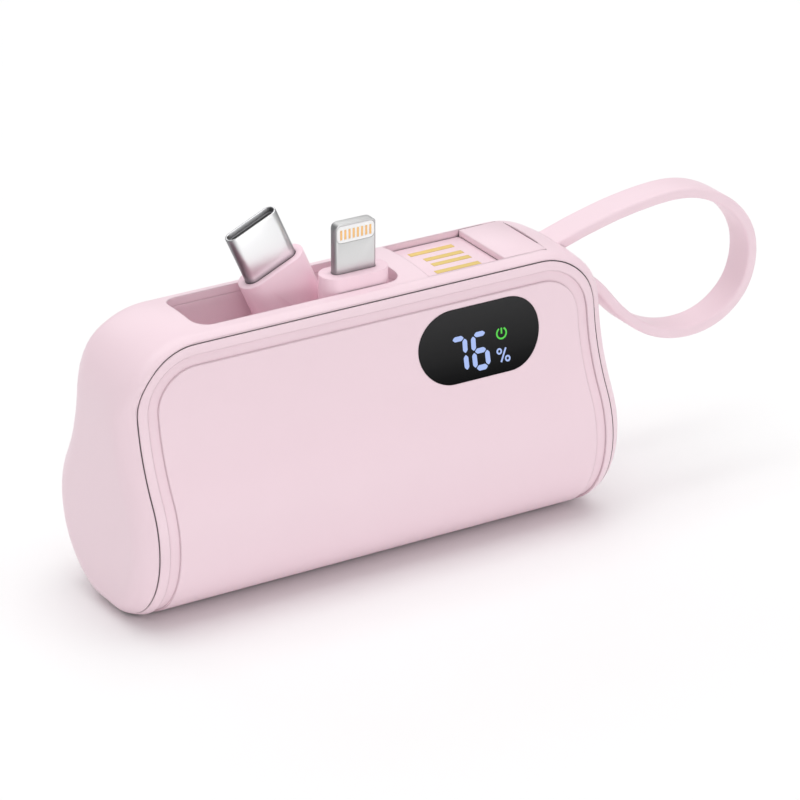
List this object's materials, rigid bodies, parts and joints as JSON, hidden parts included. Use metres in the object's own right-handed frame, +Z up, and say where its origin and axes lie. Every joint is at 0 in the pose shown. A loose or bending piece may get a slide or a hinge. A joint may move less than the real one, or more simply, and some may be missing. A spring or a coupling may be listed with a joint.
{
  "type": "power bank",
  "caption": "Pocket power bank with a round body and narrow neck, a lit display, two fold-out phone plugs and a strap cable that ends in a flat USB plug.",
  "frame": {"origin": "middle of the flat base, under the casing without the strap and its plug", "axes": "+X along the length, towards the end with the strap; -Y out of the front with the display; +Z up, out of the deck with the plugs"},
  "size_m": [0.1076, 0.0274, 0.0526],
  "materials": {
    "casing_pink": "satin moulded ABS, pale pink",
    "plug_pink": "satin moulded plastic, a deeper pink",
    "strap_pink": "soft-touch cable jacket, pale pink",
    "window_black": "smoked glossy acrylic",
    "display_body": "black epoxy body",
    "display_light": "lit light guides, pale blue",
    "gold_contact": "gold plating",
    "steel": "plain steel",
    "plug_shell_steel": "drawn stainless steel shell",
    "tab_metal": "fine blasted nickel plate",
    "cell_wrap": "shrink sleeve over a steel can full of wound foil",
    "insulator_paper": "pressed fibre paper",
    "foam": "closed-cell foam",
    "board_green": "solder mask over glass fibre board",
    "ferrite": "sintered ferrite block",
    "capacitor_tan": "ceramic capacitor body",
    "washer_white": "acetal friction washer",
    "insert_dark": "dark moulded insulator",
    "insert_white": "white moulded insulator"
  },
  "bodies": {
    "casing": {"mid_frame": "casing_pink", "front_cover": "casing_pink", "back_cover": "casing_pink", "display_window": "window_black", "display_module": "display_body", "display_digits": "display_light", "display_pins": "gold_contact", "plug_bay": "casing_pink", "bay_screws": "steel", "battery_cell": "cell_wrap", "cell_insulator_ring": "insulator_paper", "cell_positive_cap": "steel", "cell_tabs": "steel", "cell_foam_pads": "foam", "circuit_board": "board_green", "board_screws": "steel", "board_chips": "display_body", "power_inductor": "ferrite", "board_capacitors": "capacitor_tan", "c_hinge_pin": "steel", "phone_hinge_pin": "steel", "hinge_washers": "washer_white", "strap_anchor": "plug_pink", "strap_cable": "strap_pink"},
    "c_plug": {"c_plug_housing": "plug_pink", "c_plug_shell": "plug_shell_steel", "c_plug_insert": "insert_dark", "c_plug_contacts": "gold_contact"},
    "phone_plug": {"phone_plug_housing": "plug_pink", "phone_plug_tab": "tab_metal", "phone_plug_insert": "insert_white", "phone_plug_contacts": "gold_contact"},
    "usb_plug": {"usb_plug_grip": "casing_pink", "usb_plug_tongue": "casing_pink", "usb_plug_contacts": "gold_contact"}
  },
  "joints": [
    {"name": "c_plug_fold", "type": "hinge", "parent": "casing", "child": "c_plug", "pos_m": [-0.00655, 0.0027, 0.03624], "axis": [0, -1, 0], "range_deg": [-24, 66]},
    {"name": "phone_plug_fold", "type": "hinge", "parent": "casing", "child": "phone_plug", "pos_m": [-0.00005, -0.0027, 0.03624], "axis": [0, -1, 0], "range_deg": [0, 90]},
    {"name": "usb_plug_tilt", "type": "hinge", "parent": "casing", "child": "usb_plug", "pos_m": [0.02935, 0, 0.04134], "axis": [0, 1, 0], "range_deg": [0, 50]}
  ]
}
